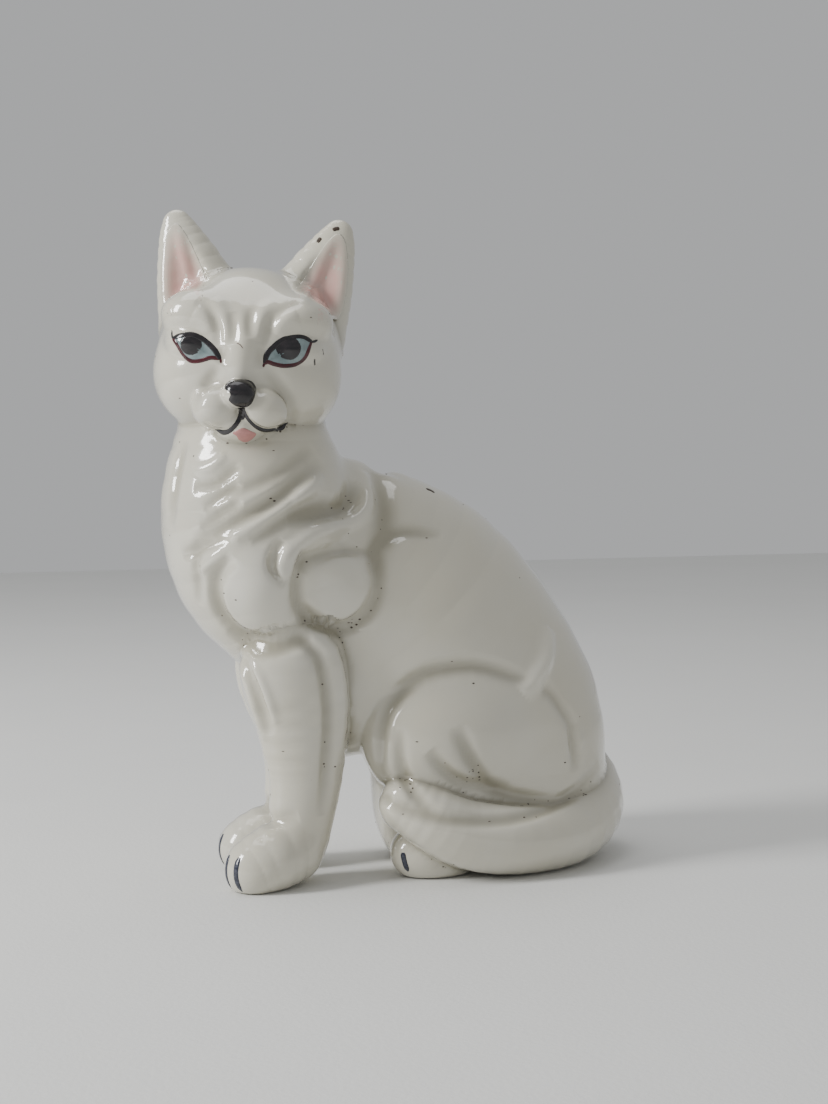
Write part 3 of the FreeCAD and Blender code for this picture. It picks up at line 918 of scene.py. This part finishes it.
def glaze(name, settings, blush=None):
    """Warm white gloss glaze, greyer where it pools in the modelled lines and where castings meet, which also
    paints shade into those creases; thin over ridges, which are lightened as a painted highlight; with faint
    specks.
    """
    made, tree = material(name)
    base, pool = rgba(settings.glaze_colour), rgba(settings.pool_shade_colour)
    cloud = noise(tree, 26.0, 4.0, 0.55)
    warmer = rgba([c * k for c, k in zip(base, (0.97, 0.955, 0.91))])
    warm = mixed(tree, spread(tree, cloud, 0.38, 0.66), base, warmer)
    # Darker towards the pool colour in the grooves and where castings meet: pooled glaze, and painted shade
    # in those creases.
    crease_share = calc(tree, "POWER", attribute(tree, "crease"), 1.2)
    shade = mixed(tree, spread(tree, crease_share, 0.0, 1.0, 0.0, 0.7), warm, pool)
    # Lighter towards a near white on the raised lines: a painted highlight.
    ridge_highlight = spread(tree, attribute(tree, "ridge"), 0.0, 1.0, 0.0, 0.25)
    bright = mixed(tree, ridge_highlight, shade, (0.78, 0.77, 0.71, 1))
    if blush is not None:
        patches = spread(tree, noise(tree, 160.0, 3.0), 0.25, 0.6, 0.7, 1.0)
        patchy = calc(tree, "MULTIPLY", spread(tree, attribute(tree, "tone"), 0.0, 0.55), patches)
        bright = mixed(tree, patchy, bright, rgba(blush))
    place = put(tree, "ShaderNodeTexCoord")
    cell = put(tree, "ShaderNodeTexVoronoi", Vector=place.outputs["Object"], Scale=260.0)
    dot = spread(tree, cell.outputs["Distance"], 0.03, 0.055, 1.0, 0.0)
    rare = spread(tree, noise(tree, 60.0, 1.0), 0.62, 0.66)
    colour = mixed(tree, calc(tree, "MULTIPLY", dot, rare), bright, (0.16, 0.11, 0.07, 1))
    rough = spread(tree, noise(tree, 300.0, 3.0), 0.3, 0.7, 0.1, 0.2)
    glossy(tree, colour, waviness(tree), rough)
    return made


def enamel(name, colour, second, scale=500.0, roughness=0.16):
    """Brushed-on fired enamel with streaks where the colour lies thin."""
    made, tree = material(name)
    place = put(tree, "ShaderNodeTexCoord")
    stretch = put(tree, "ShaderNodeMapping", Vector=place.outputs["Object"])
    stretch.inputs["Scale"].default_value = (1.0, 1.0, 3.0)
    streak = put(tree, "ShaderNodeTexNoise", Vector=stretch.outputs[0], Scale=scale, Detail=4.0)
    tint = mixed(tree, spread(tree, streak.outputs[0], 0.35, 0.7), rgba(colour), rgba(second))
    rough = spread(tree, streak.outputs[0], 0.3, 0.7, roughness * 0.7, roughness * 1.4)
    glossy(tree, tint, waviness(tree, 0.012, 0.03), rough, coat=0.2)
    return made


def iris_enamel(name, settings):
    """Grey-turquoise eye colour, darker in the middle beside the pupil, paler out towards the rim, darkened
    again right at the rim, and mottled darker.
    """
    made, tree = material(name)
    colour = rgba(settings.iris_colour)
    pale = rgba([min(1, c * 1.35 + 0.05) for c in settings.iris_colour])
    dark = rgba([c * 0.45 for c in settings.iris_colour])
    tone = attribute(tree, "tone")
    ring = mixed(tree, spread(tree, tone, 0.25, 0.75), pale, colour)
    edge = mixed(tree, spread(tree, tone, 0.0, 0.12, 0.55, 0.0), ring, dark)
    mottled = mixed(tree, spread(tree, noise(tree, 900.0, 3.0), 0.4, 0.75, 0.0, 0.35), edge, dark)
    glossy(tree, mottled, waviness(tree, 0.006, 0.02), spread(tree, noise(tree, 500.0), 0.3, 0.7, 0.08, 0.16))
    return made


def paper_floor(name):
    made, tree = material(name)
    tint = mixed(tree, noise(tree, 8.0, 4.0), (0.74, 0.74, 0.72, 1), (0.78, 0.78, 0.76, 1))
    surface(tree, tint, noise(tree, 700.0, 2.0), 0.1, spread(tree, noise(tree, 40.0), 0, 1, 0.5, 0.65))
    return made


def paint(name):
    """A material made once and used again."""
    label = "cat_" + name
    if label in bpy.data.materials:
        return bpy.data.materials[label]
    colours = bpy.context.scene.cat_paint
    makers = {
        "white_glaze": lambda: glaze(label, colours),
        "pink_blush": lambda: glaze(label, colours, colours.blush_colour),
        "pink_enamel": lambda: enamel(label, colours.lip_colour, [c * 0.85 for c in colours.lip_colour]),
        "blue_enamel": lambda: iris_enamel(label, colours),
        "black_enamel": lambda: enamel(label, (0.006, 0.006, 0.008), (0.02, 0.016, 0.018)),
        "plum_enamel": lambda: enamel(label, colours.lid_colour, [c * 0.35 for c in colours.lid_colour]),
        "slate_enamel": lambda: enamel(label, (0.012, 0.015, 0.03), (0.05, 0.055, 0.08)),
        "iron_speck": lambda: enamel(label, (0.02, 0.014, 0.01), (0.07, 0.04, 0.02), 3000.0, 0.35),
        "paper_floor": lambda: paper_floor(label)}
    return makers[name]()


def finish_piece(piece, node, slot, *paints):
    """Gives a piece its materials and its body, and hides the imported part it stands for; the slot argument
    is not used.
    """
    for one in paints:
        piece.data.materials.append(paint(one))
    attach(piece, "root")
    if node:
        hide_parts(node)
    return piece


# ---------------------------------------------------------------- settings
def colour_setting(name, description, default):
    return FloatVectorProperty(
        name=name, description=description, default=default, subtype="COLOR", size=3, min=0, max=1)


def grain_setting(name, where, default, low):
    description = "Spacing of the surface points on " + where + ", in millimetres"
    return FloatProperty(name=name, description=description, default=default, min=low, max=4)


def length_setting(name, description, default, low, high):
    return FloatProperty(
        name=name, description=description, default=default, min=low, max=high, unit="LENGTH")


class CatPaint(bpy.types.PropertyGroup):
    """Colours of the glaze and the enamels."""
    glaze_colour: colour_setting("Glaze", "Colour of the white glaze", (0.62, 0.597, 0.51))
    # Pooled glaze colour, also used as painted shade in the grooves and where castings meet.
    pool_shade_colour: colour_setting(
        "Pooled glaze", "Colour where glaze gathers in the modelled lines", (0.2, 0.18, 0.115))
    blush_colour: colour_setting("Ear blush", "Pink stain in the ears", (0.68, 0.41, 0.36))
    iris_colour: colour_setting("Iris", "Grey-turquoise of the eyes", (0.12, 0.17, 0.175))
    lid_colour: colour_setting("Lower lid", "Plum line under the eyes", (0.075, 0.008, 0.014))
    lip_colour: colour_setting("Lip", "Pink of the lower lip", (0.56, 0.25, 0.23))


class CatForm(bpy.types.PropertyGroup):
    """Sizes of the casting's surface and of the brushwork."""
    body_grain: grain_setting("Body grain", "the body", 1.0, 0.5)
    head_grain: grain_setting("Head grain", "the head", 0.48, 0.3)
    limb_grain: grain_setting("Limb grain", "legs, tail and ears", 0.6, 0.3)
    clay_wall: length_setting("Wall", "Thickness of the fired clay around the cavities", 0.0045, 0.002, 0.01)
    lid_width: length_setting("Lid line", "Width of the line over the eye", 0.0012, 0.0003, 0.003)
    toe_width: length_setting("Toe line", "Width of the painted toe lines", 0.0017, 0.0003, 0.004)
    speck_seed: IntProperty(
        name="Speck seed", description="Seed for the scatter of iron specks", default=7, min=0)


def form():
    return bpy.context.scene.cat_form


def body_cavity(p):
    """Drained inside of the body with the hole in its foot."""
    wall = form().clay_wall / MM
    room = np.maximum(torso(p) + wall, wall - p[..., 2])
    across = p - rows([0, 31, 0])
    drain = np.sqrt(across[..., 0] ** 2 + across[..., 1] ** 2) - 6.0
    drain = np.maximum(drain, p[..., 2] - 3 * wall)
    return np.minimum(room, drain)


def head_cavity(p):
    q = to_head(p)
    wall = form().clay_wall / MM
    room = ball(q, (0, 0, 0), (25.6 - wall, 24.6 - wall, 23.8 - wall))
    neck = np.sqrt(q[..., 0] ** 2 + q[..., 1] ** 2) - 11.0
    return np.minimum(room, np.maximum(neck, q[..., 2]))


# ---------------------------------------------------------------- operators
class OBJECT_OT_cat_body(bpy.types.Operator):
    """Body casting with ruff, haunches and hind paws"""
    bl_idname = "object.cat_body"
    bl_label = "Body"

    def execute(self, context):
        add_casting("body_casting", form().body_grain, body_cavity)
        return {"FINISHED"}


class OBJECT_OT_cat_head(bpy.types.Operator):
    """Head casting with brows, cheeks, muzzle and chin"""
    bl_idname = "object.cat_head"
    bl_label = "Head"

    def execute(self, context):
        add_casting("head_casting", form().head_grain, head_cavity)
        return {"FINISHED"}


class OBJECT_OT_cat_limbs(bpy.types.Operator):
    """Forelegs and tail"""
    bl_idname = "object.cat_limbs"
    bl_label = "Forelegs and tail"

    def execute(self, context):
        for name in ("left_foreleg", "right_foreleg", "tail"):
            add_casting(name, form().limb_grain)
        return {"FINISHED"}


class OBJECT_OT_cat_ears(bpy.types.Operator):
    """Ears and the pink stain in their hollows"""
    bl_idname = "object.cat_ears"
    bl_label = "Ears"

    def execute(self, context):
        outline = closed_outline(EAR_CUP, 5)
        for side in ("left", "right"):
            add_casting(side + "_ear", 0.85 * form().limb_grain)
            stain = coat(side + "_ear_stain", outline, 0.03, (19.8, 21.0), side == "right")
            finish_piece(stain, side + "_ear_blush", "pink_blush", "pink_blush")
        return {"FINISHED"}


class OBJECT_OT_cat_eyes(bpy.types.Operator):
    """Irises, pupils and lid lines"""
    bl_idname = "object.cat_eyes"
    bl_label = "Eyes"

    def execute(self, context):
        brush = stroke_tree()
        width = form().lid_width / MM
        for side, eye in EYES.items():
            outline = smooth_path(eye["upper"], 6)[:-1]
            outline = np.vstack([outline, smooth_path(eye["lower"], 6)[:-1]])[:, :2]
            iris = coat(side + "_iris", outline, 0.05)
            finish_piece(iris, side + "_eye_blue", "blue_enamel", "blue_enamel")
            x, z, half_x, half_z = eye["pupil"]
            turn = np.linspace(0, 2 * math.pi, 40, endpoint=False)
            disc = np.stack([x + half_x * np.cos(turn), z + half_z * np.sin(turn)], 1)
            pupil = coat(side + "_pupil_disc", disc, 0.08)
            finish_piece(pupil, side + "_pupil", "black_enamel", "black_enamel")
            lines = [
                face_stroke(brush, eye["upper"], width * 1.3, paint("black_enamel"), (0.5, 0.7)),
                face_stroke(brush, eye["lower"], width, paint("plum_enamel"), (0.5, 0.7)),
                face_stroke(brush, eye["flick"], width * 0.6, paint("black_enamel"), (0.9, 0.2)),
                face_stroke(brush, eye["corner"], width * 0.6, paint("plum_enamel"), (0.7, 0.2))]
            if side == "left":
                for dot in LASH_DOTS:
                    lines.append(face_stroke(brush, dot, 0.7, paint("black_enamel"), (0.6, 0.6)))
                lines.append(face_stroke(brush, HAIRLINE, 0.22, paint("plum_enamel"), (0.3, 0.3)))
            finish_piece(join_pieces(side + "_lid_lines", lines), side + "_eye_outline", "black_enamel")
        return {"FINISHED"}


class OBJECT_OT_cat_muzzle(bpy.types.Operator):
    """Nose, mouth line and lower lip"""
    bl_idname = "object.cat_muzzle"
    bl_label = "Nose and mouth"

    def execute(self, context):
        brush = stroke_tree()
        nose = coat("nose_coat", closed_outline(NOSE), 0.25)
        finish_piece(nose, "nose_enamel", "black_enamel", "black_enamel")
        lip = coat("lip_coat", closed_outline(LIP), 0.2)
        finish_piece(lip, "lower_lip", "pink_enamel", "pink_enamel")
        black = paint("black_enamel")
        lines = [
            face_stroke(brush, MOUTH["middle"], 2.6, black, (0.9, 0.35)),
            face_stroke(brush, MOUTH["right"], 1.6, black, (0.9, 0.1)),
            face_stroke(brush, MOUTH["left"], 1.4, black, (0.9, 0.1))]
        finish_piece(join_pieces("mouth_strokes", lines), "mouth_lines", "black_enamel")
        return {"FINISHED"}


class OBJECT_OT_cat_toes(bpy.types.Operator):
    """Painted toe lines on the four paws"""
    bl_idname = "object.cat_toes"
    bl_label = "Toe lines"

    def execute(self, context):
        brush = stroke_tree()
        width = form().toe_width / MM
        ahead = rows([0, 1, 0])
        paws = {
            "left_forepaw": (14.5, (0.2, 4.6), 10.6, 1.0, -80.0),
            "right_forepaw": (-11.5, (-4.6, -0.2), 10.6, 1.0, -80.0),
            "left_hindpaw": (18.0, (-4.3, 4.3), 8.2, 2.6, -17.0),
            "right_hindpaw": (-18.0, (-4.3, 4.3), 8.2, 2.6, -10.0)}
        for name, (middle, offsets, top, low, front) in paws.items():
            lines = []
            for offset in offsets:
                heights = np.linspace(top, low, 9)
                sway = 0.35 * np.sin(np.linspace(0, 3, 9)) * (1 if offset > 0 else -1)
                starts = np.stack([middle + offset + sway, np.full(9, front), heights], 1)
                on = settled(starts, ahead, figure, 0.0)
                lines.append(stroke(brush, on, width, paint("slate_enamel"), (0.5, 0.2)))
            finish_piece(join_pieces(name + "_toes", lines), name + "_lines", "black_enamel")
        return {"FINISHED"}


class OBJECT_OT_cat_specks(bpy.types.Operator):
    """Iron specks in the glaze of the castings"""
    bl_idname = "object.cat_specks"
    bl_label = "Iron specks"

    def execute(self, context):
        tree = speck_tree()
        grains = []
        for name in ("body_casting", "head_casting", "left_foreleg", "tail", "left_ear"):
            skin = bpy.data.objects[name + "_glazed"]
            grains.append(grown(skin, tree, Seed=form().speck_seed, Grain_radius=SPECK_RADIUS,
                                Specks_per_area=SPECKS_PER_AREA, Material=paint("iron_speck")))
        brush = stroke_tree()
        back = smooth_path(BACK_CHIP, 3)
        starts = back[:, :1] * SIDE_ALONG + back[:, 1:] * rows([0, 0, 1])
        chips = [settled(starts, -SIDE_OUT, figure)]
        chips += [on_head(smooth_path(chip, 3), figure) for chip in EAR_CHIPS]
        for chip in chips:
            grains.append(stroke(brush, chip, 1.3, paint("iron_speck"), (0.5, 0.5)))
        piece = join_pieces("iron_specks", grains)
        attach(piece, "root")
        return {"FINISHED"}


# The camera, from the body's middle: metres away, to the side and up, and degrees of tilt.
VIEW_DISTANCE = 0.494
VIEW_ALONG = 0.0042
VIEW_HEIGHT = 0.117
VIEW_TILT = -2.76
LENS = 54.07
SENSOR = 36


class OBJECT_OT_cat_stage(bpy.types.Operator):
    """Floor, soft studio lights and the camera"""
    bl_idname = "object.cat_stage"
    bl_label = "Stage"

    def execute(self, context):
        low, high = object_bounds()
        middle = 0.5 * (low + high)
        half = 1.5
        corners = [(x * half, y * half, low.z) for x, y in ((-1, -1), (1, -1), (1, 1), (-1, 1))]
        mesh = bpy.data.meshes.new("floor")
        mesh.from_pydata(corners, [], [(0, 1, 2, 3)])
        floor = bpy.data.objects.new("floor", mesh)
        mesh.materials.append(paint("paper_floor"))
        context.scene.collection.objects.link(floor)
        floor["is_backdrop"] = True

        along = Vector([float(v) for v in SIDE_ALONG])
        out = Vector([float(v) for v in SIDE_OUT])
        up = Vector((0, 0, 1))
        self.lamp(context, "window", middle - along * 0.8 + out * 0.34 + up * 0.42, (0.2, 0.5), 10.0, middle)
        self.lamp(context, "sky", middle - along * 0.2 - out * 0.1 + up * 1.0, (0.7, 0.7), 3.5, middle)
        world = bpy.data.worlds.new("studio")
        context.scene.world = world
        world.use_nodes = True
        world.node_tree.nodes["Background"].inputs[0].default_value = (0.78, 0.79, 0.8, 1)
        world.node_tree.nodes["Background"].inputs[1].default_value = 0.58

        data = bpy.data.cameras.new("camera")
        data.sensor_width = SENSOR
        data.lens = LENS
        data.clip_start = 0.01
        camera = bpy.data.objects.new("camera", data)
        context.scene.collection.objects.link(camera)
        origin = Vector([float(v) * MM for v in ORIGIN])
        pitch = math.radians(VIEW_TILT)
        sight = -out * math.cos(pitch) + up * math.sin(pitch)
        turn = Matrix((along, along.cross(sight), -sight)).transposed().to_4x4()
        place = origin + out * VIEW_DISTANCE + along * VIEW_ALONG + up * VIEW_HEIGHT
        camera.matrix_world = Matrix.Translation(place) @ turn
        context.scene.camera = camera
        return {"FINISHED"}

    def lamp(self, context, name, place, size, power, target):
        data = bpy.data.lights.new(name, "AREA")
        data.shape = "RECTANGLE"
        data.size, data.size_y = size
        data.energy = power
        lamp = bpy.data.objects.new(name, data)
        context.scene.collection.objects.link(lamp)
        lamp.location = place
        lamp.rotation_euler = (target - place).to_track_quat("-Z", "Y").to_euler()


class VIEW3D_PT_cat(bpy.types.Panel):
    """Sidebar panel with the cat's colours, sizes and pieces"""
    bl_label = "Ceramic cat"
    bl_idname = "VIEW3D_PT_cat"
    bl_space_type = "VIEW_3D"
    bl_region_type = "UI"
    bl_category = "Ceramic cat"

    def draw(self, context):
        layout = self.layout
        for group_name in ("cat_paint", "cat_form"):
            settings = getattr(context.scene, group_name)
            for field in settings.bl_rna.properties:
                if not field.is_readonly and field.identifier not in ("name", "rna_type"):
                    layout.prop(settings, field.identifier)
        for step in STEPS:
            layout.operator(step.bl_idname)


STEPS = (
    OBJECT_OT_cat_body, OBJECT_OT_cat_head, OBJECT_OT_cat_limbs, OBJECT_OT_cat_ears, OBJECT_OT_cat_eyes,
    OBJECT_OT_cat_muzzle, OBJECT_OT_cat_toes, OBJECT_OT_cat_specks, OBJECT_OT_cat_stage)
CLASSES = (CatPaint, CatForm, *STEPS, VIEW3D_PT_cat)


def register():
    for one in CLASSES:
        bpy.utils.register_class(one)
    bpy.types.Scene.cat_paint = PointerProperty(type=CatPaint)
    bpy.types.Scene.cat_form = PointerProperty(type=CatForm)


def unregister():
    del bpy.types.Scene.cat_form
    del bpy.types.Scene.cat_paint
    for one in reversed(CLASSES):
        bpy.utils.unregister_class(one)


def main():
    register()
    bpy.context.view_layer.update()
    bpy.ops.object.cat_body()
    bpy.ops.object.cat_head()
    bpy.ops.object.cat_limbs()
    bpy.ops.object.cat_ears()
    bpy.ops.object.cat_eyes()
    bpy.ops.object.cat_muzzle()
    bpy.ops.object.cat_toes()
    bpy.ops.object.cat_specks()
    bpy.ops.object.cat_stage()


if __name__ == "__main__":
    main()
